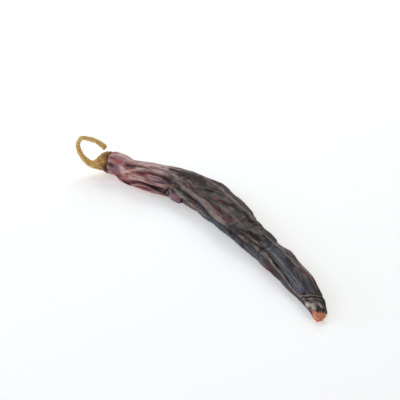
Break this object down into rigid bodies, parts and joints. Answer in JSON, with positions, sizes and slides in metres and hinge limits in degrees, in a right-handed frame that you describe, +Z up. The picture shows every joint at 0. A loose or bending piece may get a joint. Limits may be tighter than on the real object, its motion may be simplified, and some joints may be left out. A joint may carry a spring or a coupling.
{
  "type": "dried chilli",
  "caption": "Single dried chilli: a long, collapsed, leathery pod with its calyx and curled stem, used whole or ground as a spice.",
  "frame": {"origin": "middle of the footprint, on the surface that the chilli lies on", "axes": "+X along the pod from the stem end towards the tip, +Z up with the shown side on top"},
  "size_m": [0.1504, 0.0408, 0.0198],
  "materials": {
    "pod_skin": "glossy, wrinkled, nearly black burgundy skin",
    "stem_bark": "matt, dry, golden brown"
  },
  "bodies": {
    "root": {"pod": "pod_skin", "calyx_and_stem": "stem_bark"}
  },
  "joints": []
}
